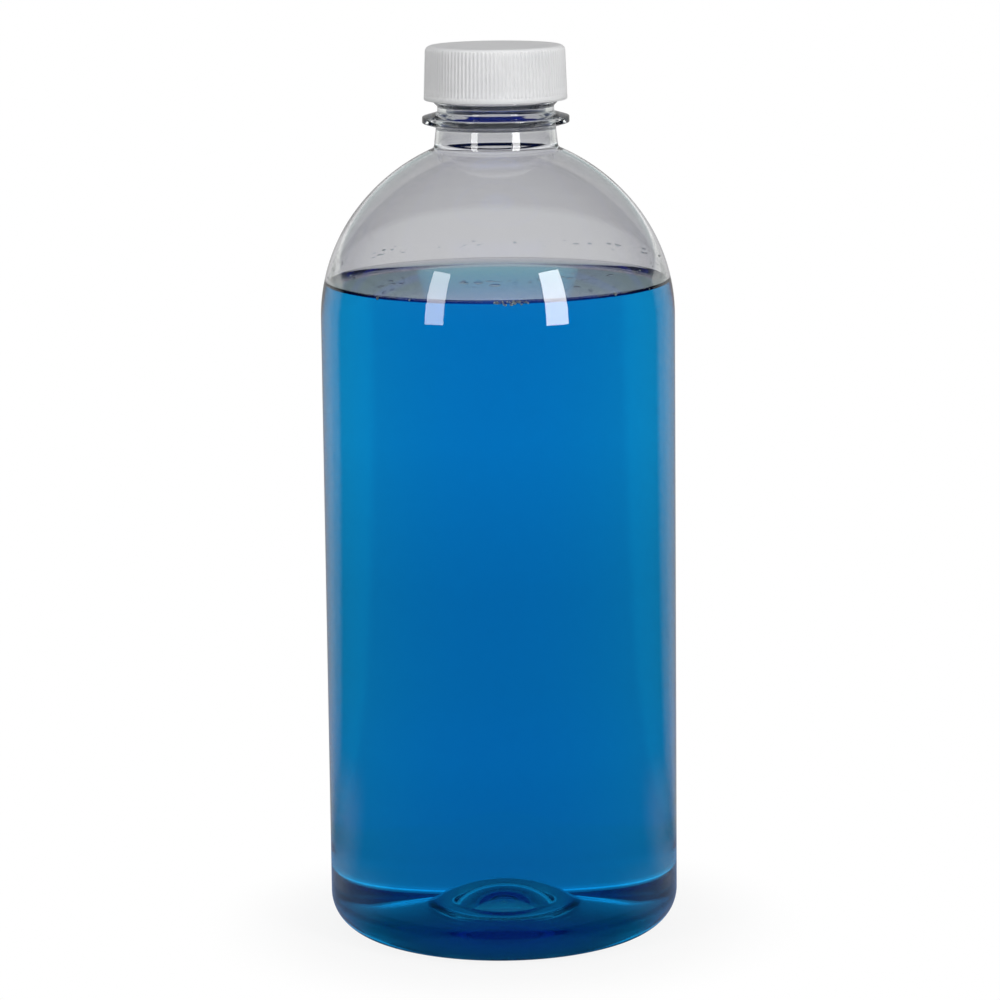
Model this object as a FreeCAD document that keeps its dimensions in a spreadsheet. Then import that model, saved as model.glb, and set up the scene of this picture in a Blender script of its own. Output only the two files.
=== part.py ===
import FreeCAD, Part
import math
import os
import re

import Sketcher

# A boston round bottle: a clear blown bottle with a support ring under its screw finish, the
# drink that fills it to the shoulder, and a ribbed white screw cap. Everything is turned about
# the Z axis; the origin is where that axis meets the surface that the bottle stands on.
# Millimetres and degrees, +Z up.

SIZES = [
    # the bottle's outside
    ("bottle_height", 193.4, "standing surface to the rim of the mouth"),
    ("body_radius", 38.5, "outside of the round body"),
    ("heel_radius", 7.9, "round edge between body and base"),
    ("foot_width", 1.8, "flat ring that the bottle stands on"),
    ("shoulder_low_arc", 38.5, "radius of the shoulder where it leaves the body"),
    ("shoulder_turn", 37.0, "degrees that the lower arc turns inward"),
    ("shoulder_top_arc", 42.8, "radius of the flatter arc up to the neck"),
    ("neck_length", 4.26, "shoulder to support ring"),
    ("neck_step", 0.35, "neck under the support ring, beyond the finish above it"),
    ("neck_flare", 0.5, "how much the neck widens down to the shoulder"),
    ("neck_root_round", 1.0, "fillet between neck and shoulder"),
    # the base: pushed up in a cone, with a domed knob inside and a domed dimple under it
    ("base_rise", 5.4, "standing surface to the top of the cone under the base"),
    ("knob_radius", 12.0, "foot of the knob, and top edge of the cone"),
    ("knob_top", 12.3, "standing surface to the top of the knob"),
    ("knob_round", 3.0, "fillet round the foot of the knob"),
    ("dimple_radius", 7.3, "edge of the dimple under the knob"),
    ("dimple_top", 9.4, "standing surface to the top of the dimple"),
    ("dimple_round", 1.0, "rounding of the dimple's edge"),
    ("foot_round", 2.0, "rounding of the foot's inner edge and of the cone's top edge"),
    # walls
    ("wall", 0.7, "blown wall of body and shoulder"),
    ("neck_wall", 0.6, "wall of the neck under the support ring"),
    ("heel_wall", 0.9, "wall of the base over the foot"),
    ("base_wall", 1.4, "wall of the base at the foot of the knob"),
    ("inner_heel_radius", 8.5, "round edge between body and base, inside"),
    ("inner_foot_round", 3.0, "fillet inside, where that edge meets the cone"),
    # the support ring
    ("ring_reach", 3.3, "outside of the support ring, beyond the finish"),
    ("ring_edge", 1.25, "height of its outer edge"),
    ("ring_slope", 1.25, "height of each of its sloping faces"),
    ("ring_round", 0.4, "rounding of its outer edges"),
    # the screw finish
    ("finish_radius", 12.6, "finish between its threads"),
    ("finish_wall", 1.75, "wall of the finish"),
    ("finish_height", 12.55, "support ring to the rim"),
    ("collar_height", 1.05, "plain collar between support ring and bead"),
    ("bead_reach", 0.8, "bead under the cap, beyond the finish"),
    ("bead_edge", 0.6, "height of the bead's outer edge"),
    ("bead_slope", 0.8, "height of each of the bead's sloping faces"),
    ("thread_depth", 0.9, "crest of the thread, beyond the finish"),
    ("thread_sink", 0.3, "depth of the thread's foot in the wall"),
    ("thread_pitch", 4.23, "rise of the thread in one turn"),
    ("thread_turns", 1.3, "turns of the thread"),
    ("thread_foot", 2.2, "height of the thread at its foot"),
    ("thread_crest", 0.8, "height of the thread at its crest"),
    ("thread_drop", 1.4, "rim to the top of the thread"),
    ("rim_round", 0.4, "rounding of the rim"),
    # the drink
    ("fill_drop", 50.1, "rim down to the surface of the drink"),
    # the cap
    ("cap_gap", 2.45, "support ring to the cap's bottom edge"),
    ("cap_top_wall", 1.45, "thickness of the cap's top"),
    ("cap_clearance", 0.35, "crest of the thread to the cap's bore"),
    ("cap_wall", 1.22, "bore to the outside of the ribs, at the top"),
    ("cap_draft", 0.43, "how much wider the cap is at its bottom edge"),
    ("cap_edge_round", 1.2, "rounding of the top edge"),
    ("band_height", 1.2, "plain band under the ribs"),
    ("rib_count", 108, "ribs round the cap"),
    ("rib_depth", 0.26, "depth of the groove between two ribs"),
    ("groove_radius", 0.36, "radius of that groove"),
]

# Heights and radii that follow from the sizes above.
WORKED_OUT = [
    ("foot_outer", "body_radius - heel_radius"),
    ("foot_inner", "foot_outer - foot_width"),
    ("inner_foot_radius", "body_radius - wall - inner_heel_radius"),
    # the base's two domes
    ("floor_height", "base_rise + base_wall"),
    ("knob_rise", "knob_top - floor_height"),
    ("knob_arc", "(knob_radius ^ 2 + knob_rise ^ 2) / (2 * knob_rise)"),
    ("dimple_rise", "dimple_top - base_rise"),
    ("dimple_arc", "(dimple_radius ^ 2 + dimple_rise ^ 2) / (2 * dimple_rise)"),
    # neck and finish
    ("ring_top_root", "bottle_height - finish_height"),
    ("ring_top_edge", "ring_top_root - ring_slope"),
    ("ring_low_edge", "ring_top_edge - ring_edge"),
    ("ring_low_root", "ring_low_edge - ring_slope"),
    ("ring_radius", "finish_radius + ring_reach"),
    ("neck_radius", "finish_radius + neck_step"),
    ("neck_root_radius", "neck_radius + neck_flare"),
    ("neck_root", "ring_low_root - neck_length"),
    ("bore_radius", "finish_radius - finish_wall"),
    ("bead_radius", "finish_radius + bead_reach"),
    ("bead_low_root", "ring_top_root + collar_height"),
    ("bead_low_edge", "bead_low_root + bead_slope"),
    ("bead_top_edge", "bead_low_edge + bead_edge"),
    ("bead_top_root", "bead_top_edge + bead_slope"),
    # the shoulder's two arcs, from the neck down
    ("low_centre_radius", "body_radius - shoulder_low_arc"),
    ("arc_difference", "shoulder_low_arc - shoulder_top_arc"),
    ("top_centre_radius", "low_centre_radius + arc_difference * cos(shoulder_turn)"),
    ("root_reach", "neck_root_radius - top_centre_radius"),
    ("top_centre", "neck_root - sqrt(shoulder_top_arc ^ 2 - root_reach ^ 2)"),
    ("shoulder_foot", "top_centre - arc_difference * sin(shoulder_turn)"),
    ("join_radius", "low_centre_radius + shoulder_low_arc * cos(shoulder_turn)"),
    ("join_height", "shoulder_foot + shoulder_low_arc * sin(shoulder_turn)"),
    # the same arcs inside the wall
    ("inner_join_radius", "join_radius - wall * cos(shoulder_turn)"),
    ("inner_join_height", "join_height - wall * sin(shoulder_turn)"),
    ("inner_root_radius", "neck_root_radius - neck_wall"),
    ("inner_reach", "inner_root_radius - top_centre_radius"),
    ("inner_root", "top_centre + sqrt((shoulder_top_arc - wall) ^ 2 - inner_reach ^ 2)"),
    # the thread, the drink and the cap
    ("thread_radius", "finish_radius + thread_depth"),
    ("thread_rise", "thread_pitch * thread_turns"),
    ("thread_start", "bottle_height - thread_drop - thread_rise - thread_foot / 2"),
    ("fill_height", "bottle_height - fill_drop"),
    ("cap_bottom", "ring_top_root + cap_gap"),
    ("cap_top", "bottle_height + cap_top_wall"),
    ("cap_height", "cap_top - cap_bottom"),
    ("cap_bore_radius", "thread_radius + cap_clearance"),
    ("cap_top_radius", "cap_bore_radius + cap_wall"),
    ("cap_bottom_radius", "cap_top_radius + cap_draft"),
    ("band_top_radius", "cap_bottom_radius - cap_draft * band_height / cap_height"),
]

# Outlines as (corner, radius, height, arc radius to the next corner). An outline runs
# anticlockwise with the axis on its left, and an arc that is a plain 0 is a straight line.
BOTTLE_OUTSIDE = [
    ("hollow_middle", "0", "base_rise", "0"),
    ("hollow_top", "knob_radius", "base_rise", "0"),
    ("foot_inside", "foot_inner", "0", "0"),
    ("foot_outside", "foot_outer", "0", "heel_radius"),
    ("body_bottom", "body_radius", "heel_radius", "0"),
    ("body_top", "body_radius", "shoulder_foot", "shoulder_low_arc"),
    ("shoulder_join", "join_radius", "join_height", "shoulder_top_arc"),
    ("neck_bottom", "neck_root_radius", "neck_root", "0"),
    ("ring_under", "neck_radius", "ring_low_root", "0"),
    ("ring_low", "ring_radius", "ring_low_edge", "0"),
    ("ring_top", "ring_radius", "ring_top_edge", "0"),
    ("ring_over", "finish_radius", "ring_top_root", "0"),
    ("bead_under", "finish_radius", "bead_low_root", "0"),
    ("bead_low", "bead_radius", "bead_low_edge", "0"),
    ("bead_top", "bead_radius", "bead_top_edge", "0"),
    ("bead_over", "finish_radius", "bead_top_root", "0"),
    ("rim", "finish_radius", "bottle_height", "0"),
    ("rim_middle", "0", "bottle_height", "0"),
]
CAVITY = [
    ("floor_middle", "0", "floor_height", "0"),
    ("floor_top", "knob_radius", "floor_height", "0"),
    ("floor_foot", "inner_foot_radius", "heel_wall", "inner_heel_radius"),
    ("inner_bottom", "body_radius - wall", "heel_wall + inner_heel_radius", "0"),
    ("inner_top", "body_radius - wall", "shoulder_foot", "shoulder_low_arc - wall"),
    ("inner_join", "inner_join_radius", "inner_join_height", "shoulder_top_arc - wall"),
    ("inner_neck", "inner_root_radius", "inner_root", "0"),
    ("throat_bottom", "neck_radius - neck_wall", "ring_low_root", "0"),
    ("throat_top", "bore_radius", "ring_top_edge", "0"),
    ("mouth", "bore_radius", "bottle_height", "0"),
    ("mouth_middle", "0", "bottle_height", "0"),
]
KNOB = [
    ("knob_middle", "0", "floor_height", "0"),
    ("knob_foot", "knob_radius", "floor_height", "knob_arc"),
    ("knob_peak", "0", "knob_top", "0"),
]
DIMPLE = [
    ("dimple_middle", "0", "base_rise", "0"),
    ("dimple_edge", "dimple_radius", "base_rise", "dimple_arc"),
    ("dimple_peak", "0", "dimple_top", "0"),
]
THREAD = [
    ("thread_low_foot", "finish_radius - thread_sink", "thread_start - thread_foot / 2", "0"),
    ("thread_low_crest", "thread_radius", "thread_start - thread_crest / 2", "0"),
    ("thread_top_crest", "thread_radius", "thread_start + thread_crest / 2", "0"),
    ("thread_top_foot", "finish_radius - thread_sink", "thread_start + thread_foot / 2", "0"),
]
CAP = [
    ("cap_seat", "0", "bottle_height", "0"),
    ("cap_corner", "cap_bore_radius", "bottle_height", "0"),
    ("cap_mouth", "cap_bore_radius", "cap_bottom", "0"),
    ("cap_hem", "cap_bottom_radius", "cap_bottom", "0"),
    ("cap_shoulder", "cap_top_radius", "cap_top", "0"),
    ("cap_middle", "0", "cap_top", "0"),
]

AXIS_V = -2
AXIS_H = -1


def fill_sheets(doc):
    """Put the sizes in one sheet and what follows from them in another."""
    sizes = doc.addObject("Spreadsheet::Sheet", "Sizes")
    for row, (alias, value, meaning) in enumerate(SIZES, start=1):
        sizes.set("A%d" % row, alias)
        sizes.set("B%d" % row, str(value))
        sizes.setAlias("B%d" % row, alias)
        sizes.set("C%d" % row, meaning)
    doc.recompute()
    worked = doc.addObject("Spreadsheet::Sheet", "Worked")
    for row, (alias, formula) in enumerate(WORKED_OUT, start=1):
        worked.set("A%d" % row, alias)
        worked.setAlias("B%d" % row, alias)
        worked.set("B%d" % row, "=" + bound(formula))
    doc.recompute()


def bound(text):
    """Return an expression with each named size led by the sheet that holds it."""
    sheets = {alias: "Sizes" for alias, value, meaning in SIZES}
    sheets.update({alias: "Worked" for alias, formula in WORKED_OUT})

    def lead(match):
        word = match.group(0)
        return "%s.%s" % (sheets[word], word) if word in sheets else word

    return re.sub(r"[a-z_]+", lead, text)


def number(obj, text):
    """Return the value of an expression in named sizes."""
    return float(obj.evalExpression(bound(text)))


def origin_feature(body, role):
    for feature in body.Origin.OriginFeatures:
        if feature.Role == role:
            return feature
    raise LookupError(role)


def new_sketch(body, name, plane="XZ_Plane"):
    sketch = body.newObject("Sketcher::SketchObject", name)
    sketch.AttachmentSupport = (origin_feature(body, plane), [""])
    sketch.MapMode = "FlatFace"
    return sketch


def arc_centre(start, end, radius):
    """Centre of the arc that turns left from start to end."""
    middle = (start + end) * 0.5
    half = (end - start) * 0.5
    left = FreeCAD.Vector(-half.y, half.x, 0)
    reach = math.sqrt(max(radius ** 2 - half.Length ** 2, 0.0))
    return middle + left.normalize() * reach


def draw_outline(sketch, corners):
    """Draw a closed outline and bind every corner and arc to the sheets."""
    points = []
    for corner, radius, height, arc in corners:
        points.append(FreeCAD.Vector(number(sketch, radius), number(sketch, height), 0))
    for index, (corner, radius, height, arc) in enumerate(corners):
        start = points[index]
        end = points[(index + 1) % len(points)]
        if arc == "0":
            sketch.addGeometry(Part.LineSegment(start, end), False)
            continue
        size = number(sketch, arc)
        centre = arc_centre(start, end, size)
        circle = Part.Circle(centre, FreeCAD.Vector(0, 0, 1), size)
        first = math.atan2(start.y - centre.y, start.x - centre.x)
        last = math.atan2(end.y - centre.y, end.x - centre.x)
        sketch.addGeometry(Part.ArcOfCircle(circle, first, last), False)
    for index in range(len(corners)):
        following = (index + 1) % len(corners)
        sketch.addConstraint(Sketcher.Constraint("Coincident", index, 2, following, 1))
    for index, (corner, radius, height, arc) in enumerate(corners):
        fix_distance(sketch, "DistanceX", index, corner + "_radius", radius, AXIS_V)
        fix_distance(sketch, "DistanceY", index, corner + "_height", height, AXIS_H)
        if arc != "0":
            place = sketch.addConstraint(Sketcher.Constraint("Radius", index, number(sketch, arc)))
            name_and_bind(sketch, place, corner + "_arc", arc)


def fix_distance(sketch, kind, index, name, text, axis):
    """Hold a corner on an axis, or at its own distance from the origin."""
    if text == "0":
        sketch.addConstraint(Sketcher.Constraint("PointOnObject", index, 1, axis))
        return
    value = number(sketch, text)
    place = sketch.addConstraint(Sketcher.Constraint(kind, -1, 1, index, 1, value))
    name_and_bind(sketch, place, name, text)


def name_and_bind(sketch, place, name, text):
    sketch.renameConstraint(place, name)
    sketch.setExpression("Constraints." + name, bound(text))


def disc_sketch(body, name, reach, height, radius):
    """Draw one circle at a height, its centre out along X by reach."""
    sketch = new_sketch(body, name, "XY_Plane")
    sketch.setExpression("AttachmentOffset.Base.z", bound(height))
    centre = FreeCAD.Vector(number(sketch, reach), 0, 0)
    circle = Part.Circle(centre, FreeCAD.Vector(0, 0, 1), number(sketch, radius))
    sketch.addGeometry(circle, False)
    sketch.addConstraint(Sketcher.Constraint("PointOnObject", 0, 3, AXIS_H))
    if reach == "0":
        sketch.addConstraint(Sketcher.Constraint("PointOnObject", 0, 3, AXIS_V))
    else:
        place = sketch.addConstraint(Sketcher.Constraint("DistanceX", -1, 1, 0, 3, centre.x))
        name_and_bind(sketch, place, "reach", reach)
    place = sketch.addConstraint(Sketcher.Constraint("Radius", 0, circle.Radius))
    name_and_bind(sketch, place, "size", radius)
    return sketch


def turned(body, kind, name, corners):
    """Revolve an outline round the Z axis: a PartDesign Revolution adds, a Groove cuts."""
    sketch = new_sketch(body, name + "_outline")
    draw_outline(sketch, corners)
    feature = body.newObject("PartDesign::" + kind, name)
    feature.Profile = sketch
    feature.ReferenceAxis = (sketch, ["V_Axis"])
    feature.Angle = 360
    body.Document.recompute()
    return feature


def circle_edges(feature, corners):
    """Names of the feature's circular edges at the given (radius, height) corners."""
    wanted = [(number(feature, radius), number(feature, height)) for radius, height in corners]
    names = []
    for index, edge in enumerate(feature.Shape.Edges, start=1):
        if edge.Degenerated or not isinstance(edge.Curve, Part.Circle):
            continue
        for radius, height in wanted:
            near = abs(edge.Curve.Radius - radius) < 0.01 and abs(edge.Curve.Center.z - height) < 0.01
            if near:
                names.append("Edge%d" % index)
    if len(names) != len(wanted):
        raise ValueError("expected %d edges, found %s" % (len(wanted), names))
    return names


def rounded(body, base, name, corners, size):
    """Fillet the circular edges at the given corners."""
    fillet = body.newObject("PartDesign::Fillet", name)
    fillet.Base = (base, circle_edges(base, corners))
    fillet.setExpression("Radius", bound(size))
    body.Document.recompute()
    return fillet


def add_thread(body):
    """Add the screw thread as one ridge wound round the finish."""
    sketch = new_sketch(body, "thread_section")
    draw_outline(sketch, THREAD)
    helix = body.newObject("PartDesign::AdditiveHelix", "thread")
    helix.Profile = sketch
    helix.ReferenceAxis = (sketch, ["V_Axis"])
    helix.Mode = 0
    helix.setExpression("Pitch", bound("thread_pitch"))
    helix.setExpression("Height", bound("thread_rise"))
    body.Document.recompute()
    return helix


def rounded_floor(body, base):
    """Round the two edges that knob, floor and heel share, on the bottle and on its drink."""
    knob_edge = [("knob_radius", "floor_height")]
    knob_foot = rounded(body, base, "knob_edge", knob_edge, "knob_round")
    heel_edge = [("inner_foot_radius", "heel_wall")]
    return rounded(body, knob_foot, "heel_edge", heel_edge, "inner_foot_round")


def make_bottle(doc):
    """Blow the bottle: outside, cavity, the base's knob and dimple, roundings and thread."""
    body = doc.addObject("PartDesign::Body", "bottle")
    outside = turned(body, "Revolution", "outside", BOTTLE_OUTSIDE)
    base_corners = [("knob_radius", "base_rise"), ("foot_inner", "0")]
    base = rounded(body, outside, "base_edges", base_corners, "foot_round")
    root = rounded(body, base, "neck_root", [("neck_root_radius", "neck_root")], "neck_root_round")
    ring_corners = [("ring_radius", "ring_low_edge"), ("ring_radius", "ring_top_edge")]
    ring = rounded(body, root, "ring_edges", ring_corners, "ring_round")
    rounded(body, ring, "rim_edge", [("finish_radius", "bottle_height")], "rim_round")
    turned(body, "Groove", "cavity", CAVITY)
    knob = turned(body, "Revolution", "knob", KNOB)
    rounded_floor(body, knob)
    dimple = turned(body, "Groove", "dimple", DIMPLE)
    rounded(body, dimple, "dimple_rim", [("dimple_radius", "base_rise")], "dimple_round")
    add_thread(body)
    return body


def make_drink(doc):
    """Fill the cavity, then cut away all that is above the surface of the drink."""
    body = doc.addObject("PartDesign::Body", "drink")
    turned(body, "Revolution", "filling", CAVITY)
    print_of_knob = turned(body, "Groove", "knob_print", KNOB)
    rounded_floor(body, print_of_knob)
    sketch = disc_sketch(body, "surface", "0", "fill_height", "body_radius")
    pocket = body.newObject("PartDesign::Pocket", "above_surface")
    pocket.Profile = sketch
    pocket.Type = "ThroughAll"
    pocket.Reversed = True
    doc.recompute()
    return body


def make_cap(doc):
    """Turn the cap, round its top edge and cut the grooves between its ribs."""
    body = doc.addObject("PartDesign::Body", "cap")
    shell = turned(body, "Revolution", "shell", CAP)
    rounded(body, shell, "top_edge", [("cap_top_radius", "cap_top")], "cap_edge_round")
    reach = "band_top_radius + groove_radius - rib_depth"
    sketch = disc_sketch(body, "groove_section", reach, "cap_bottom + band_height", "groove_radius")
    groove = body.newObject("PartDesign::Pocket", "groove")
    groove.Profile = sketch
    groove.UseCustomVector = True
    groove.setExpression("Direction.x", bound("-cap_draft"))
    groove.setExpression("Direction.z", bound("cap_height"))
    groove.AlongSketchNormal = False
    groove.setExpression("Length", bound("cap_height"))
    doc.recompute()
    ribs = body.newObject("PartDesign::PolarPattern", "ribs")
    ribs.Originals = [groove]
    ribs.Axis = (origin_feature(body, "Z_Axis"), [""])
    ribs.Angle = 360
    ribs.setExpression("Occurrences", bound("rib_count"))
    body.Tip = ribs
    doc.recompute()
    return body


def check(doc, bodies):
    """Stop if any object failed or any piece isn't one valid solid."""
    failed = [obj.Name for obj in doc.Objects if {"Invalid", "Error"} & set(obj.State)]
    if failed:
        raise RuntimeError("failed: " + ", ".join(failed))
    for body in bodies:
        shape = body.Shape
        if shape.isNull() or not shape.isValid() or len(shape.Solids) != 1:
            raise RuntimeError("not one valid solid: " + body.Label)
        print("%-8s %10.1f mm3  %s" % (body.Label, shape.Volume, shape.BoundBox))


def main():
    doc = FreeCAD.newDocument("boston_round_bottle")
    fill_sheets(doc)
    bodies = [make_bottle(doc), make_drink(doc), make_cap(doc)]
    doc.recompute()
    check(doc, bodies)
    os.makedirs("parts", exist_ok=True)
    for body in bodies:
        body.Shape.exportStep("parts/%s.step" % body.Label)


main()
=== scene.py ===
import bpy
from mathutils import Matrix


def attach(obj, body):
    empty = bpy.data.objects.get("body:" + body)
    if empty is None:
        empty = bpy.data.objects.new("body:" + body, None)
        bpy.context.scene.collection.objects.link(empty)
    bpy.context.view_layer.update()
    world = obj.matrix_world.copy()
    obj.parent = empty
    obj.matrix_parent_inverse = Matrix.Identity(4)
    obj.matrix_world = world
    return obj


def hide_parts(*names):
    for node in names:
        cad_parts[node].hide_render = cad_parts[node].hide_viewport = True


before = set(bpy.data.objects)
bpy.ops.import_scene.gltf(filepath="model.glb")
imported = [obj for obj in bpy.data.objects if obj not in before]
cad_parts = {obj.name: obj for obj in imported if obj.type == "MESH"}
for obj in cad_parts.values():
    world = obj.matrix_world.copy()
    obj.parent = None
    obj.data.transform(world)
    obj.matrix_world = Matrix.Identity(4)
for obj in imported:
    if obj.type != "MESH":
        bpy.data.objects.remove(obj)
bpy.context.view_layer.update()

import math
import random

import bpy
from mathutils import Matrix, Vector

# A clear boston round bottle of blue drink with a ribbed white screw cap, standing on a white
# floor. Everything is turned about the Z axis. Outlines are in millimetres, the scene in metres.
# The camera stands in front, at -Y. Azimuths are in degrees.

MM = 0.001

# the bottle's outside: radii from its axis, and heights, which end in _Z or name a top or foot
BODY = 38.5
HEEL = 7.9  # radius of the rounding between the body and the flat ring that the bottle stands on
FOOT_INNER, FOOT_OUTER = 28.8, 30.6
BASE_RISE = 5.4
DIMPLE, DIMPLE_TOP = 7.3, 9.4  # the dome in the base, from below
KNOB, KNOB_TOP, FLOOR = 12.0, 12.3, 6.8  # the wider dome over it, inside, and the height of its foot
SHOULDER_FOOT = 136.1
LOW_ARC, TOP_ARC, TURN = 38.5, 42.8, 37.0  # the shoulder's two arcs, and the angle where they meet
NECK_ROOT = 13.45
NECK, RING_UNDER_Z = 12.95, 177.4
RING, RING_LOW_Z, RING_TOP_Z, RING_OVER_Z = 15.9, 178.3, 179.65, 180.6
FINISH, RIM_Z = 12.6, 193.4
BEAD, BEAD_UNDER_Z, BEAD_LOW_Z, BEAD_TOP_Z, BEAD_OVER_Z = 13.4, 181.9, 182.7, 183.3, 184.1
# its walls
WALL, NECK_WALL, BORE = 0.7, 0.6, 10.85
HEEL_WALL, INNER_HEEL = 1.4, 9.5
ROOT_LEAN = 0.9  # share of the wall's thickness that lies across, where it leans into the neck
# the thread, the share of a turn in which each end fades, and the plain heights under and over it
THREAD_DEPTH, THREAD_PITCH, THREAD_TURNS, THREAD_START = 0.9, 4.23, 1.3, 185.4
THREAD_FOOT, THREAD_CREST, THREAD_FADE = 1.1, 0.4, 0.06
PLAIN_UNDER, PLAIN_OVER = 0.2, 0.6
# the drink: its level, its reach into the wall, and how its surface climbs the wall
LEVEL, REACH = 143.3, 0.1
CLIMB, CLIMB_ROUND, CLIMB_LEAN = 1.2, 2.2, 0.12
EDGE = 0.03  # points this near the surface's sharp edge keep its smooth shading from turning there
# the cap
CAP_TOP, CAP_BOTTOM, CAP_TOP_R, CAP_BOTTOM_R = 194.85, 183.3, 15.07, 15.5
CAP_BORE, CAP_ROUND, BAND, BAND_EDGE = 13.85, 1.2, 1.2, 0.02
BORE_CHAMFER, RIM_CHAMFER = 0.3, 0.15
EDGE_RING, MIDDLE_RING = 0.5, 9.0  # two more rings, which keep the flat top's smooth shading level
RIBS, RIB_DEPTH, GROOVE = 108, 0.26, 0.36
# the drops left on the wall in a tilted line over the drink
DROPS, DROP_LINE, DROP_TILT, DROP_SCATTER, DROP_INSET = 120, 4.6, 0.8, 0.45, 0.02
DROP_SIZE, DROP_SPREAD, DROP_DEPTH = 0.07, 0.2, 0.4
# the bubbles at the drink's edge: a row between two azimuths, and single ones, each as its
# azimuth, its height over the drink's level and its radius
ROW_START, ROW_END, BUBBLE_INSET = -1.0, 10.5, 0.3
STRAYS = [(42, 0.9, 0.42), (-43, 0.5, 0.36), (-75, 0.8, 0.3), (-30, 0.7, 0.22), (60, 0.6, 0.25)]
DROP_SEED, BUBBLE_SEED = 11, 5

# how finely the meshes are drawn
AROUND, AROUND_RIB = 216, 12
WALL_ROWS, FINISH_ROWS, CAP_ROWS = 24, 44, 6
DOME_STEPS, HEEL_STEPS, SHOULDER_STEPS, DRINK_SHOULDER_STEPS = 14, 20, 26, 40
CLIMB_STEPS, CAP_STEPS, BEND_STEPS = 12, 14, 8
BEAD_RINGS, BEAD_AROUND = 6, 12
TINY = 1e-6

# the camera: its place in body radii, its angles in degrees and its lens in mm
CAMERA_BACK, CAMERA_UP = 22.78, 6.6838
CAMERA_DOWN, CAMERA_ROLL = 10.463, -0.6365
LENS = 146.3

# The studio that shows in the plastic and the drink, as (degrees over the horizon, grey or colour).
# BACKDROP stands behind the bottle and ROOM in front of it, for light that was reflected on its
# way. SURROUND is all round, for light that was only refracted. A ray fresh from a reflection
# sees a shine, and one fresh from a diffuse surface, such as the cap, sees SOFT_LIGHT.
NAVY = (0.004, 0.03, 0.1)
LOW_GLOW = [(-90, 0.9), (2, 0.9), (3, 1.6), (5.5, 1.6)]
HIGH_BACKDROP = [(35, 0.28), (45, 0.2), (60, 0.22), (90, 0.3)]
BACKDROP = LOW_GLOW + [(6.5, (0.68, 0.88, 0.87)), (12, (0.37, 0.48, 0.48))] + HIGH_BACKDROP
BACKDROP_ASIDE = LOW_GLOW + [(6.5, (0.3, 0.32, 0.42)), (12, (0.2, 0.22, 0.33))] + HIGH_BACKDROP
ROOM = [(-90, NAVY), (0, NAVY), (14, (0.03, 0.05, 0.12)), (35, 0.25), (60, 0.35), (90, 0.45)]
SURROUND = [
    (-90, 0.85), (2, 0.85), (3, 1.6), (5.5, 1.6), (6.5, 0.8),
    (12, 0.5), (35, 0.4), (60, 0.45), (90, 0.5),
]
BACK_SHINE = [(-90, 0.35), (0, 0.4), (20, 0.35), (45, 0.12), (90, 0.08)]
SOFT_LIGHT = [(-90, 0.2), (0, 0.2), (30, 0.34), (90, 0.78)]
DARK_SHINE = 0.008
MIDDLE_TINT, SIDE_TINT = (0.86, 0.86, 0.875), (0.97, 1.0, 0.97)
# degrees to each side of straight behind the bottle, where a region has faded out and where it is full
BACKDROP_SIDES, BACKDROP_MIDDLE = (58, 50), (42, 16)
SHINE_SIDES, TINT_SIDES = (56, 35), (25, 21)
BESIDE_SIDES, NEAR_SHINE_SIDES = (90, 66), (125, 95)

# the floor in metres: its size, its light by distance from the bottle's axis, and the distances
# at which its round regions have faded out and are full
FLOOR_SIDE, FLOOR_DROP, FLOOR_SPAN = 3.0, 0.0003, 2.0
FLOOR_LIGHT = [
    (0.03, 0.6), (0.04, 0.8), (0.06, 0.62), (0.1, 0.7), (0.16, 0.78),
    (0.37, 0.8), (0.65, 1.0), (1.58, 0.95), (1.68, 0.8),
]
UNDER_KNOB, UNDER_BOTTLE = (0.018, 0.010), (0.037, 0.031)
SHADOW, CLOSE, AROUND_BOTTLE = (0.07, 0.038), (0.11, 0.07), (0.2, 0.12)
SHADOW_STRENGTH = 0.12
# its painted light and shade: blue light from the drink beside the bottle, dark blue shade under it and a
# pool of green light under its knob, and what it shows as a mirror image
PAINTED_BLUE_LIGHT_BESIDE, PAINTED_SHADE_UNDER_BOTTLE, PAINTED_GLOW_UNDER_KNOB = (0.02, 0.15, 0.4), (0.01, 0.11, 0.22), (0.2, 0.9, 0.85)
FAR_SHINE, NEAR_SHINE = 0.35, (0.19, 0.26, 0.42)
FLOOR_SOFT_LIGHT = 0.2

# the lamps face the bottle, leaning down by a share of their height over this place on its axis
LAMP_AIM, LAMP_LEAN = 0.14, 0.3


# ---------------------------------------------------------------- outlines
def arc(centre, radius, first, last, steps):
    """Points on an arc, with its angles in degrees from the outward direction."""
    points = []
    for step in range(steps + 1):
        angle = math.radians(first + (last - first) * step / steps)
        points.append((centre[0] + radius * math.cos(angle), centre[1] + radius * math.sin(angle)))
    return points


def upright(radius, low, high, rows):
    """Points on an upright line between two heights, without its ends."""
    return [(radius, low + (high - low) * row / rows) for row in range(1, rows)]


def dome(radius, foot, top, sink=0.0):
    """A dome from its top on the axis out to its edge."""
    rise = top - foot
    size = (radius ** 2 + rise ** 2) / (2 * rise)
    edge = 90 - math.degrees(math.asin(radius / size))
    return arc((0, top - size - sink), size, 90, edge, DOME_STEPS)


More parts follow.
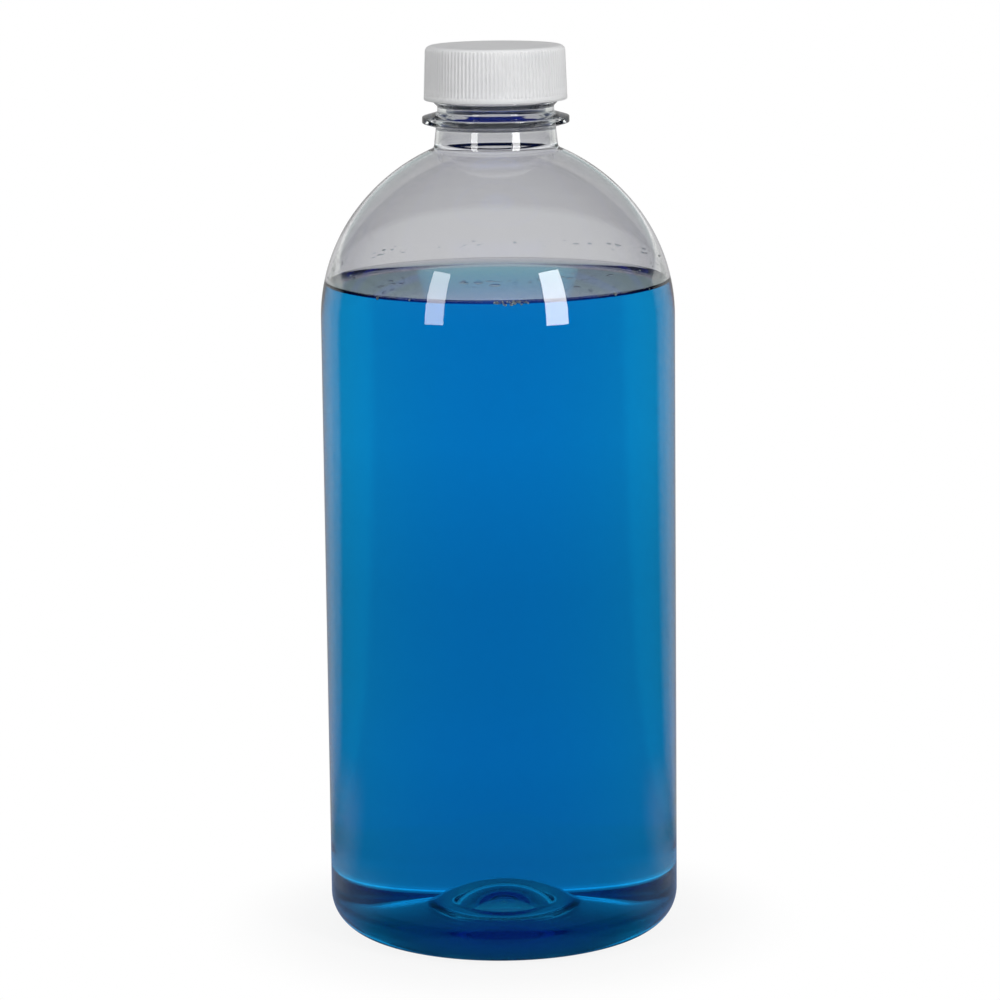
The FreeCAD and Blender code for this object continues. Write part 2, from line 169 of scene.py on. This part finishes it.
def soften(points, corners):
    """Replace each corner by a curve that starts and ends at its own reach from it."""
    lengths = [0.0]
    for a, b in zip(points, points[1:]):
        lengths.append(lengths[-1] + math.dist(a, b))

    def at(length):
        """The point at a length along the outline."""
        for index in range(1, len(points)):
            if lengths[index] >= length:
                span = lengths[index] - lengths[index - 1]
                part = (length - lengths[index - 1]) / span if span else 0.0
                a, b = points[index - 1], points[index]
                return (a[0] + (b[0] - a[0]) * part, a[1] + (b[1] - a[1]) * part)
        return points[-1]

    cuts = []
    for corner, reach in corners:
        index = min(range(len(points)), key=lambda i: math.dist(points[i], corner))
        cuts.append((lengths[index], reach, points[index]))
    cuts.sort()
    result = []
    for point, length in zip(points, lengths):
        while cuts and length >= cuts[0][0]:
            place, reach, middle = cuts.pop(0)
            start, end = at(place - reach), at(place + reach)
            while result and result[-1][1] > place - reach:
                result.pop()
            for step in range(BEND_STEPS + 1):
                t = step / BEND_STEPS
                u = 1 - t
                r = u * u * start[0] + 2 * u * t * middle[0] + t * t * end[0]
                z = u * u * start[1] + 2 * u * t * middle[1] + t * t * end[1]
                result.append(((r, z), place - reach + 2 * reach * t))
        if not result or length > result[-1][1] + TINY:
            result.append((point, length))
    return [point for point, length in result]


def shoulder(inset, steps=SHOULDER_STEPS):
    """The shoulder's two arcs from the body up to the neck, moved inward by inset."""
    difference = LOW_ARC - TOP_ARC
    centre_r = difference * math.cos(math.radians(TURN))
    centre_z = SHOULDER_FOOT + difference * math.sin(math.radians(TURN))
    last = math.degrees(math.acos((NECK_ROOT - inset * ROOT_LEAN - centre_r) / (TOP_ARC - inset)))
    low = arc((BODY - LOW_ARC, SHOULDER_FOOT), LOW_ARC - inset, 0, TURN, steps)
    return low + arc((centre_r, centre_z), TOP_ARC - inset, TURN, last, steps)[1:]


def outside():
    """The bottle's outside, from the middle of its base to its rim, and its corners."""
    points = dome(DIMPLE, BASE_RISE, DIMPLE_TOP)
    points += [(KNOB, BASE_RISE), (FOOT_INNER, 0), (FOOT_OUTER, 0)]
    points += arc((FOOT_OUTER, HEEL), HEEL, -90, 0, HEEL_STEPS)[1:]
    points += upright(BODY, HEEL, SHOULDER_FOOT, WALL_ROWS)
    points += shoulder(0)
    root = points[-1]
    points += [
        (NECK, RING_UNDER_Z),
        (RING, RING_LOW_Z),
        (RING, RING_TOP_Z),
        (FINISH, RING_OVER_Z),
        (FINISH, BEAD_UNDER_Z),
        (BEAD, BEAD_LOW_Z),
        (BEAD, BEAD_TOP_Z),
        (FINISH, BEAD_OVER_Z),
    ]
    points += upright(FINISH, BEAD_OVER_Z, RIM_Z, FINISH_ROWS)
    points += [(FINISH, RIM_Z), (BORE, RIM_Z)]
    corners = [
        ((DIMPLE, BASE_RISE), 0.6),
        ((KNOB, BASE_RISE), 0.5),
        ((FOOT_INNER, 0), 0.4),
        (root, 0.7),
        ((NECK, RING_UNDER_Z), 0.3),
        ((RING, RING_LOW_Z), 0.2),
        ((RING, RING_TOP_Z), 0.25),
        ((FINISH, RING_OVER_Z), 0.3),
        ((FINISH, BEAD_UNDER_Z), 0.2),
        ((BEAD, BEAD_LOW_Z), 0.25),
        ((BEAD, BEAD_TOP_Z), 0.25),
        ((FINISH, BEAD_OVER_Z), 0.2),
        ((FINISH, RIM_Z), 0.4),
        ((BORE, RIM_Z), 0.3),
    ]
    return points, corners


def floor_and_wall(reach):
    """The cavity from the middle of its floor to the foot of the shoulder, grown by reach."""
    points = dome(KNOB, FLOOR, KNOB_TOP, reach)
    foot = (BODY - WALL - INNER_HEEL, HEEL_WALL - reach)
    centre = (BODY - WALL - INNER_HEEL, HEEL_WALL + INNER_HEEL)
    points += [((KNOB + foot[0]) / 2, (FLOOR - reach + foot[1]) / 2)]
    points += arc(centre, INNER_HEEL + reach, -90, 0, HEEL_STEPS)
    points += upright(BODY - WALL + reach, HEEL_WALL + INNER_HEEL, SHOULDER_FOOT, WALL_ROWS)
    corners = [((KNOB, FLOOR - reach), 1.6), (foot, 0.8)]
    return points, corners


def whole_shell():
    """The closed outline of the bottle: outside up to the rim, then the cavity back down."""
    points, corners = outside()
    inner, inner_corners = floor_and_wall(0)
    inner += shoulder(WALL)
    root = inner[-1]
    inner += [(NECK - NECK_WALL, RING_UNDER_Z), (BORE, RING_TOP_Z), (BORE, RIM_Z)]
    corners += inner_corners
    corners += [(root, 1.7), ((NECK - NECK_WALL, RING_UNDER_Z), 0.8), ((BORE, RING_TOP_Z), 1.0)]
    return soften(points + inner[-2::-1], corners)


def drink_outline():
    """The drink: the cavity grown a little into the wall, and a surface that climbs the wall."""
    points, corners = floor_and_wall(REACH)
    top = LEVEL + CLIMB
    points += [point for point in shoulder(WALL - REACH, DRINK_SHOULDER_STEPS) if point[1] < top]
    edge = BODY - LOW_ARC + math.sqrt((LOW_ARC - WALL + REACH) ** 2 - (top - SHOULDER_FOOT) ** 2)
    points += [(edge, top - EDGE), (edge, top), (edge - EDGE / 3, top - EDGE)]
    for step in range(2, CLIMB_STEPS + 1):
        angle = math.radians(90 * step / CLIMB_STEPS)
        inward = CLIMB_ROUND * (1 - math.cos(angle)) + CLIMB_LEAN * step / CLIMB_STEPS
        points.append((edge - inward, LEVEL + CLIMB * (1 - math.sin(angle))))
    points.append((0, LEVEL))
    return soften(points, corners)


def cap_side(z):
    """Radius of the cap's leaning side at a height."""
    part = (z - CAP_BOTTOM) / (CAP_TOP - CAP_BOTTOM)
    return CAP_BOTTOM_R + (CAP_TOP_R - CAP_BOTTOM_R) * part


def cap_outline():
    """The cap from the middle of its seat down the bore, up its side and over its top."""
    points = [
        (0, RIM_Z),
        (CAP_BORE, RIM_Z),
        (CAP_BORE, CAP_BOTTOM + BORE_CHAMFER),
        (CAP_BORE + BORE_CHAMFER, CAP_BOTTOM),
        (CAP_BOTTOM_R - RIM_CHAMFER, CAP_BOTTOM),
    ]
    band_top = CAP_BOTTOM + BAND
    round_foot = CAP_TOP - CAP_ROUND
    heights = [CAP_BOTTOM + RIM_CHAMFER, band_top, band_top + BAND_EDGE]
    heights += [band_top + (round_foot - band_top) * row / CAP_ROWS for row in range(1, CAP_ROWS)]
    points += [(cap_side(z), z) for z in heights]
    flat = cap_side(round_foot) - CAP_ROUND
    points += arc((flat, round_foot), CAP_ROUND, 0, 90, CAP_STEPS)
    points += [(flat - EDGE_RING, CAP_TOP), (MIDDLE_RING, CAP_TOP), (0, CAP_TOP)]
    return points


# ---------------------------------------------------------------- meshes
def thread_lift(radius, z, angle):
    """The finish's radius, with the screw thread standing out of it."""
    on_finish = abs(radius - FINISH) < 0.01
    if not on_finish or not BEAD_OVER_Z + PLAIN_UNDER < z < RIM_Z - PLAIN_OVER:
        return radius
    lift = 0.0
    for lap in range(2):
        turned = angle / (2 * math.pi) + lap
        off = abs(z - THREAD_START - THREAD_PITCH * turned)
        ends = min(1.0, turned / THREAD_FADE, (THREAD_TURNS - turned) / THREAD_FADE)
        section = (THREAD_FOOT - off) / (THREAD_FOOT - THREAD_CREST)
        lift = max(lift, THREAD_DEPTH * min(max(section, 0.0), 1.0) * max(ends, 0.0))
    return radius + lift


def rib_cut(radius, z, angle):
    """The cap's radius, with the grooves between its ribs cut in."""
    if z < CAP_BOTTOM + BAND + BAND_EDGE / 2 or radius < CAP_TOP_R - CAP_ROUND:
        return radius
    pitch = 2 * math.pi / RIBS
    across = ((angle / pitch) % 1.0 - 0.5) * pitch * CAP_TOP_R
    depth = 0.0
    if abs(across) < GROOVE:
        depth = max(0.0, math.sqrt(GROOVE ** 2 - across ** 2) - (GROOVE - RIB_DEPTH))
    return min(radius, cap_side(z) - depth)


def add_object(name, vertices, faces):
    """A mesh object in the scene."""
    mesh = bpy.data.meshes.new(name)
    mesh.from_pydata(vertices, [], faces)
    mesh.update()
    obj = bpy.data.objects.new(name, mesh)
    bpy.context.scene.collection.objects.link(obj)
    return obj


def smooth(obj):
    """Shade an object smoothly."""
    obj.data.polygons.foreach_set("use_smooth", [True] * len(obj.data.polygons))
    return obj


def turn(name, outline, around=AROUND, shape=None, closed=False):
    """Revolve an outline into a mesh object. shape(radius, z, angle) may move its radius."""
    vertices, rows = [], []
    for radius, z in outline:
        if radius < TINY:
            rows.append([len(vertices)])
            vertices.append((0.0, 0.0, z * MM))
            continue
        rows.append(range(len(vertices), len(vertices) + around))
        for step in range(around):
            angle = 2 * math.pi * step / around
            size = shape(radius, z, angle) if shape else radius
            vertices.append((size * MM * math.cos(angle), size * MM * math.sin(angle), z * MM))
    pairs = list(zip(rows, rows[1:]))
    if closed:
        pairs.append((rows[-1], rows[0]))
    faces = []
    for low, high in pairs:
        if len(low) == 1 and len(high) == 1:
            continue
        for step in range(around):
            after = (step + 1) % around
            if len(low) == 1:
                faces.append((low[0], high[after], high[step]))
            elif len(high) == 1:
                faces.append((low[step], low[after], high[0]))
            else:
                faces.append((low[step], low[after], high[after], high[step]))
    return smooth(add_object(name, vertices, faces))


def wall_place(azimuth, height, inset):
    """A point on the cavity's wall, and the outward direction there. Azimuth 0 is the front."""
    rise = max(0.0, height - SHOULDER_FOOT)
    radius = math.sqrt((LOW_ARC - WALL) ** 2 - rise ** 2) - inset
    angle = math.radians(azimuth)
    out = Vector((math.sin(angle), -math.cos(angle), rise / LOW_ARC)).normalized()
    return Vector((radius * math.sin(angle), -radius * math.cos(angle), height)), out


def beads(name, spots):
    """One mesh of small round drops, as (place, outward direction, width, depth, height)."""
    vertices, faces = [], []
    rings, around = BEAD_RINGS, BEAD_AROUND
    for place, out, width, depth, tall in spots:
        across = Vector((0, 0, 1)).cross(out).normalized()
        up = out.cross(across)
        first = len(vertices)
        for ring in range(1, rings):
            polar = math.pi * ring / rings
            for step in range(around):
                angle = 2 * math.pi * step / around
                point = place + out * (depth * math.cos(polar))
                point += across * (width * math.sin(polar) * math.cos(angle))
                point += up * (tall * math.sin(polar) * math.sin(angle))
                vertices.append(point * MM)
        outer, inner = len(vertices), len(vertices) + 1
        vertices += [(place + out * depth) * MM, (place - out * depth) * MM]
        last = outer - around
        for step in range(around):
            after = (step + 1) % around
            faces.append((outer, first + step, first + after))
            faces.append((inner, last + after, last + step))
            for ring in range(rings - 2):
                a = first + ring * around + step
                b = first + ring * around + after
                faces.append((a, a + around, b + around, b))
    return smooth(add_object(name, vertices, faces))


def drop_spots():
    """Drops left on the wall along a slightly tilted line above the drink."""
    draw = random.Random(DROP_SEED)
    spots = []
    for _ in range(DROPS):
        azimuth = draw.uniform(0, 360)
        line = LEVEL + DROP_LINE + DROP_TILT * math.sin(math.radians(azimuth))
        height = line + draw.gauss(0, DROP_SCATTER)
        size = DROP_SIZE + DROP_SPREAD * draw.random() ** 2
        width = size * draw.uniform(1.5, 5.0)
        tall = size * draw.uniform(0.6, 1.0)
        place, out = wall_place(azimuth, height, DROP_INSET)
        spots.append((place, out, width, size * DROP_DEPTH, tall))
    return spots


def bubble_spots():
    """Bubbles at the edge of the drink's surface: a short row in front and a few strays."""
    draw = random.Random(BUBBLE_SEED)
    bubbles = []
    azimuth = ROW_START
    while azimuth < ROW_END:
        size = draw.uniform(0.16, 0.34)
        bubbles.append((azimuth, draw.uniform(0.1, 0.75), size))
        azimuth += draw.uniform(0.35, 0.9)
    spots = []
    for azimuth, lift, size in bubbles + STRAYS:
        place, out = wall_place(azimuth, LEVEL + lift, BUBBLE_INSET)
        spots.append((place, out, size, size, size))
    return spots


# ---------------------------------------------------------------- materials
def fill(made, values):
    """Set a node's properties by name, or else its inputs, with _ for each blank in their names."""
    for key, value in values.items():
        if hasattr(made, key):
            setattr(made, key, value)
        else:
            made.inputs[key.replace("_", " ")].default_value = value
    return made


def node(tree, kind, **values):
    """Add a node of a kind, with values for its properties and inputs."""
    return fill(tree.nodes.new(kind), values)


def ramp(tree, source, stops):
    """A ramp over a 0 to 1 value, as (position, grey or colour)."""
    made = node(tree, "ShaderNodeValToRGB")
    elements = made.color_ramp.elements
    while len(elements) < len(stops):
        elements.new(0.5)
    for element, (position, value) in zip(elements, stops):
        element.position = position
        element.color = (value if isinstance(value, tuple) else (value, value, value)) + (1,)
    tree.links.new(source, made.inputs["Fac"])
    return made.outputs["Color"]


def new_material(name, **values):
    """A material, its node tree and its shader, with values for the shader's inputs."""
    material = bpy.data.materials.new(name)
    material.use_nodes = True
    tree = material.node_tree
    return material, tree, fill(tree.nodes["Principled BSDF"], values)


def noise(tree, stretch=(1.0, 1.0, 1.0), **values):
    """Noise that stays with the object, stretched along its axes."""
    place = node(tree, "ShaderNodeTexCoord")
    scaled = node(tree, "ShaderNodeMapping", Scale=stretch)
    made = node(tree, "ShaderNodeTexNoise", **values)
    tree.links.new(place.outputs["Object"], scaled.inputs["Vector"])
    tree.links.new(scaled.outputs["Vector"], made.inputs["Vector"])
    return made.outputs["Fac"]


def bumps(tree, shader, height, strength, distance):
    """Let a height bend the shader's surface."""
    bump = node(tree, "ShaderNodeBump", Strength=strength, Distance=distance)
    tree.links.new(height, bump.inputs["Height"])
    tree.links.new(bump.outputs["Normal"], shader.inputs["Normal"])


def clear_plastic():
    """PET, blown: clear and glossy, with a wall that waves a little."""
    material, tree, shader = new_material(
        "clear_plastic", Base_Color=(0.867, 0.87, 0.873, 1), Roughness=0.0, IOR=1.575, Transmission_Weight=1.0
    )
    waves = noise(tree, (1.0, 1.0, 0.45), Scale=38.0, Detail=1.0, Roughness=0.4)
    bumps(tree, shader, waves, strength=0.05, distance=0.001)
    return material


def blue_drink():
    """A clear blue drink: the colour comes from its depth."""
    material, tree, shader = new_material(
        "blue_drink", Base_Color=(0.95, 0.95, 0.95, 1), Roughness=0.0, IOR=1.34, Transmission_Weight=1.0
    )
    depth = node(tree, "ShaderNodeVolumeAbsorption", Density=88.0, Color=(0.0, 0.83, 0.99, 1))
    tree.links.new(depth.outputs["Volume"], tree.nodes["Material Output"].inputs["Volume"])
    return material


def wet_drops():
    """Thin drops of the drink: nearly clear."""
    material, tree, shader = new_material("wet_drops", Roughness=0.0, IOR=1.34, Transmission_Weight=1.0)
    clouds = noise(tree, Scale=300.0, Detail=1.0)
    tint = ramp(tree, clouds, [(0, (0.8, 0.93, 0.96)), (1, (0.95, 0.98, 0.99))])
    tree.links.new(tint, shader.inputs["Base Color"])
    return material


def froth():
    """Bubbles: bright skins, paler where they are thick."""
    material, tree, shader = new_material("froth", Roughness=0.1, IOR=1.34, Transmission_Weight=0.3)
    clouds = noise(tree, Scale=900.0, Detail=1.0)
    tint = ramp(tree, clouds, [(0, (0.8, 0.88, 0.92)), (1, (0.94, 0.97, 0.97))])
    tree.links.new(tint, shader.inputs["Base Color"])
    return material


def white_plastic():
    """Satin white polypropylene with a faint moulded grain."""
    material, tree, shader = new_material(
        "white_plastic",
        Roughness=0.52,
        IOR=1.49,
        Specular_IOR_Level=0.3,
        Subsurface_Weight=0.8,
        Subsurface_Radius=(1.0, 1.0, 1.0),
        Subsurface_Scale=0.0016,
    )
    clouds = noise(tree, Scale=160.0, Detail=3.0)
    tint = ramp(tree, clouds, [(0.3, (0.76, 0.76, 0.775)), (0.7, (0.8, 0.8, 0.81))])
    tree.links.new(tint, shader.inputs["Base Color"])
    grain = noise(tree, Scale=2600.0, Detail=2.0, Roughness=0.6)
    bumps(tree, shader, grain, strength=0.06, distance=0.0001)
    return material


# ---------------------------------------------------------------- surroundings
def choose(tree, test, without, chosen):
    """Mix two colours by a test; each may be a socket, a grey or a colour."""
    made = node(tree, "ShaderNodeMixRGB")
    tree.links.new(test, made.inputs[0])
    for value, socket in ((without, made.inputs[1]), (chosen, made.inputs[2])):
        if isinstance(value, float):
            socket.default_value = (value, value, value, 1)
        elif isinstance(value, tuple):
            socket.default_value = value + (1,)
        else:
            tree.links.new(value, socket)
    return made.outputs[0]


def tinted(tree, value, tint):
    """A colour multiplied by a tint."""
    made = node(tree, "ShaderNodeMixRGB", blend_type="MULTIPLY")
    made.inputs[0].default_value = 1.0
    tree.links.new(value, made.inputs[1])
    tree.links.new(tint, made.inputs[2])
    return made.outputs[0]


def fade(tree, value, out, full, most=1.0):
    """0 where the value is at out, rising smoothly to most where it is at full."""
    made = node(tree, "ShaderNodeMapRange", interpolation_type="SMOOTHSTEP")
    made.inputs["From Min"].default_value = out
    made.inputs["From Max"].default_value = full
    made.inputs["To Max"].default_value = most
    tree.links.new(value, made.inputs["Value"])
    return made.outputs[0]


def elevation_ramp(tree, elevation, stops):
    """A ramp whose stops are (degrees above the horizon, grey or colour)."""
    return ramp(tree, elevation, [(0.5 + degrees / 180, value) for degrees, value in stops])


def within(tree, split, sides):
    """1 near straight behind the bottle; sides are the degrees where it falls to 0 and is still 1."""
    turned = node(tree, "ShaderNodeMath", operation="ARCTAN2")
    tree.links.new(split.outputs["X"], turned.inputs[0])
    tree.links.new(split.outputs["Y"], turned.inputs[1])
    aside = node(tree, "ShaderNodeMath", operation="ABSOLUTE")
    tree.links.new(turned.outputs[0], aside.inputs[0])
    out, full = sides
    return fade(tree, aside.outputs[0], math.radians(out), math.radians(full))


def backdrop_tint(tree, split):
    """The backdrop is a little lighter and greener away from its middle."""
    return choose(tree, within(tree, split, TINT_SIDES), SIDE_TINT, MIDDLE_TINT)


def straight_through(tree, rays):
    """1 for light that has only been refracted on its way, 0 once it has been reflected."""
    made = node(tree, "ShaderNodeMath", operation="LESS_THAN")
    tree.links.new(rays.outputs["Glossy Depth"], made.inputs[0])
    made.inputs[1].default_value = 0.5
    return made.outputs[0]


def seen_by(tree, rays, through, shine, soft):
    """What refracted, reflected and diffuse light sees, and white for the camera."""
    seen = choose(tree, rays.outputs["Is Reflection Ray"], through, shine)
    seen = choose(tree, rays.outputs["Is Diffuse Ray"], seen, soft)
    return choose(tree, rays.outputs["Is Camera Ray"], seen, 1.0)


def make_world():
    """White to the camera. Through plastic and drink: a light backdrop and a dimmer room."""
    world = bpy.data.worlds.new("studio")
    bpy.context.scene.world = world
    world.use_nodes = True
    tree = world.node_tree
    tree.nodes.clear()
    rays = node(tree, "ShaderNodeLightPath")
    place = node(tree, "ShaderNodeTexCoord")
    split = node(tree, "ShaderNodeSeparateXYZ")
    tree.links.new(place.outputs["Generated"], split.inputs[0])
    height = node(tree, "ShaderNodeMath", operation="ARCSINE")
    tree.links.new(split.outputs["Z"], height.inputs[0])
    scaled = node(tree, "ShaderNodeMapRange", From_Min=-math.pi / 2, From_Max=math.pi / 2)
    tree.links.new(height.outputs[0], scaled.inputs["Value"])
    elevation = scaled.outputs[0]

    middle = elevation_ramp(tree, elevation, BACKDROP)
    aside = elevation_ramp(tree, elevation, BACKDROP_ASIDE)
    backdrop = choose(tree, within(tree, split, BACKDROP_MIDDLE), aside, middle)
    room = elevation_ramp(tree, elevation, ROOM)
    reflected = choose(tree, within(tree, split, BACKDROP_SIDES), room, backdrop)
    surround = elevation_ramp(tree, elevation, SURROUND)
    through = choose(tree, straight_through(tree, rays), reflected, surround)
    through = tinted(tree, through, backdrop_tint(tree, split))
    back_shine = elevation_ramp(tree, elevation, BACK_SHINE)
    shine = choose(tree, within(tree, split, SHINE_SIDES), DARK_SHINE, back_shine)
    seen = seen_by(tree, rays, through, shine, elevation_ramp(tree, elevation, SOFT_LIGHT))
    background = node(tree, "ShaderNodeBackground")
    output = node(tree, "ShaderNodeOutputWorld")
    tree.links.new(seen, background.inputs["Color"])
    tree.links.new(background.outputs[0], output.inputs["Surface"])


def make_floor():
    """A white floor, which keeps the bottle's shadow near it. To light seen through the bottle it glows, with
    painted shadow and painted blue and green light near and under the bottle.
    """
    signs = ((-1, -1), (1, -1), (1, 1), (-1, 1))
    floor = add_object("floor", [(x * FLOOR_SIDE, y * FLOOR_SIDE, 0) for x, y in signs], [(0, 1, 2, 3)])
    floor.location.z = -FLOOR_DROP
    material = bpy.data.materials.new("floor")
    material.use_nodes = True
    tree = material.node_tree
    tree.nodes.clear()
    rays = node(tree, "ShaderNodeLightPath")
    place = node(tree, "ShaderNodeNewGeometry")
    split = node(tree, "ShaderNodeSeparateXYZ")
    tree.links.new(place.outputs["Position"], split.inputs[0])
    length = node(tree, "ShaderNodeVectorMath", operation="LENGTH")
    tree.links.new(place.outputs["Position"], length.inputs[0])
    distance = length.outputs["Value"]
    part = node(tree, "ShaderNodeMath", operation="DIVIDE")
    tree.links.new(distance, part.inputs[0])
    part.inputs[1].default_value = FLOOR_SPAN

    lit = ramp(tree, part.outputs[0], [(metres / FLOOR_SPAN, grey) for metres, grey in FLOOR_LIGHT])
    lit = tinted(tree, lit, backdrop_tint(tree, split))
    far = choose(tree, within(tree, split, BACKDROP_SIDES), NAVY, lit)
    # painted blue light from the drink on the floor in front of and beside the bottle
    beside = choose(tree, within(tree, split, BESIDE_SIDES), PAINTED_BLUE_LIGHT_BESIDE, lit)
    reflected = choose(tree, fade(tree, distance, *AROUND_BOTTLE), far, beside)
    through = choose(tree, straight_through(tree, rays), reflected, lit)
    # painted shade under the bottle, tinted blue by light through the drink
    through = choose(tree, fade(tree, distance, *UNDER_BOTTLE), through, PAINTED_SHADE_UNDER_BOTTLE)
    # a painted pool of green light on the floor under the bottle's knob
    through = choose(tree, fade(tree, distance, *UNDER_KNOB), through, PAINTED_GLOW_UNDER_KNOB)
    far_shine = choose(tree, within(tree, split, SHINE_SIDES), DARK_SHINE, FAR_SHINE)
    near_shine = choose(tree, within(tree, split, NEAR_SHINE_SIDES), DARK_SHINE, NEAR_SHINE)
    shine = choose(tree, fade(tree, distance, *CLOSE), far_shine, near_shine)
    glow = node(tree, "ShaderNodeEmission")
    tree.links.new(seen_by(tree, rays, through, shine, FLOOR_SOFT_LIGHT), glow.inputs["Color"])

    matt = node(tree, "ShaderNodeBsdfDiffuse", Color=(0.8, 0.8, 0.8, 1))
    shadow = node(tree, "ShaderNodeMath", operation="MULTIPLY")
    tree.links.new(fade(tree, distance, *SHADOW, SHADOW_STRENGTH), shadow.inputs[0])
    tree.links.new(rays.outputs["Is Camera Ray"], shadow.inputs[1])
    mixed = node(tree, "ShaderNodeMixShader")
    tree.links.new(shadow.outputs[0], mixed.inputs[0])
    tree.links.new(glow.outputs[0], mixed.inputs[1])
    tree.links.new(matt.outputs[0], mixed.inputs[2])
    output = node(tree, "ShaderNodeOutputMaterial")
    tree.links.new(mixed.outputs[0], output.inputs["Surface"])
    floor.data.materials.append(material)


def softbox(name, azimuth, distance, height, width, tall, watts):
    """A rectangular lamp standing round the bottle; azimuth 0 is straight in front."""
    lamp = bpy.data.lights.new(name, "AREA")
    lamp.shape = "RECTANGLE"
    lamp.size = width
    lamp.size_y = tall
    lamp.energy = watts
    obj = bpy.data.objects.new(name, lamp)
    angle = math.radians(azimuth)
    obj.location = (distance * math.sin(angle), -distance * math.cos(angle), height)
    aim = Vector((0, 0, LAMP_AIM)) - obj.location
    aim.z = min(aim.z, 0.0) * LAMP_LEAN
    obj.rotation_euler = aim.to_track_quat("-Z", "Y").to_euler()
    obj.visible_transmission = False
    bpy.context.scene.collection.objects.link(obj)
    return obj


def make_camera():
    """The photograph's own view: a long lens, a little above the bottle's shoulder."""
    data = bpy.data.cameras.new("camera")
    data.lens = LENS
    data.sensor_width = 36.0
    data.clip_start = 0.05
    camera = bpy.data.objects.new("camera", data)
    place = Matrix.Translation((0.0, -CAMERA_BACK * BODY * MM, CAMERA_UP * BODY * MM))
    tilt = Matrix.Rotation(math.radians(90 - CAMERA_DOWN), 4, "X")
    roll = Matrix.Rotation(math.radians(CAMERA_ROLL), 4, "Z")
    camera.matrix_world = place @ tilt @ roll
    bpy.context.scene.collection.objects.link(camera)
    bpy.context.scene.camera = camera


# ---------------------------------------------------------------- the part
def make_part():
    """The bottle, the drink and the cap, and the drops and bubbles that only show."""
    shell = turn("bottle_shell", whole_shell(), shape=thread_lift, closed=True)
    shell.data.materials.append(clear_plastic())
    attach(shell, "root")
    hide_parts("bottle")

    drink = turn("drink_fill", drink_outline())
    drink.data.materials.append(blue_drink())
    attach(drink, "root")
    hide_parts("drink")

    drops = beads("wall_drops", drop_spots())
    drops.data.materials.append(wet_drops())
    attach(drops, "root")

    bubbles = beads("surface_bubbles", bubble_spots())
    bubbles.data.materials.append(froth())
    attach(bubbles, "root")

    cap = turn("screw_cap", cap_outline(), around=RIBS * AROUND_RIB, shape=rib_cut)
    cap.data.materials.append(white_plastic())
    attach(cap, "root")
    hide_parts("cap")


make_part()
make_floor()
make_world()
softbox("softbox_left", -41, 1.2, 0.52, 0.27, 0.72, 4.5)
softbox("softbox_right", 38, 1.2, 0.52, 0.32, 0.75, 8.8)
make_camera()

scene = bpy.context.scene
scene.view_settings.view_transform = "Standard"
# light crosses many surfaces on its way through a full bottle
scene.cycles.max_bounces = 32
scene.cycles.transmission_bounces = 32
scene.cycles.glossy_bounces = 12
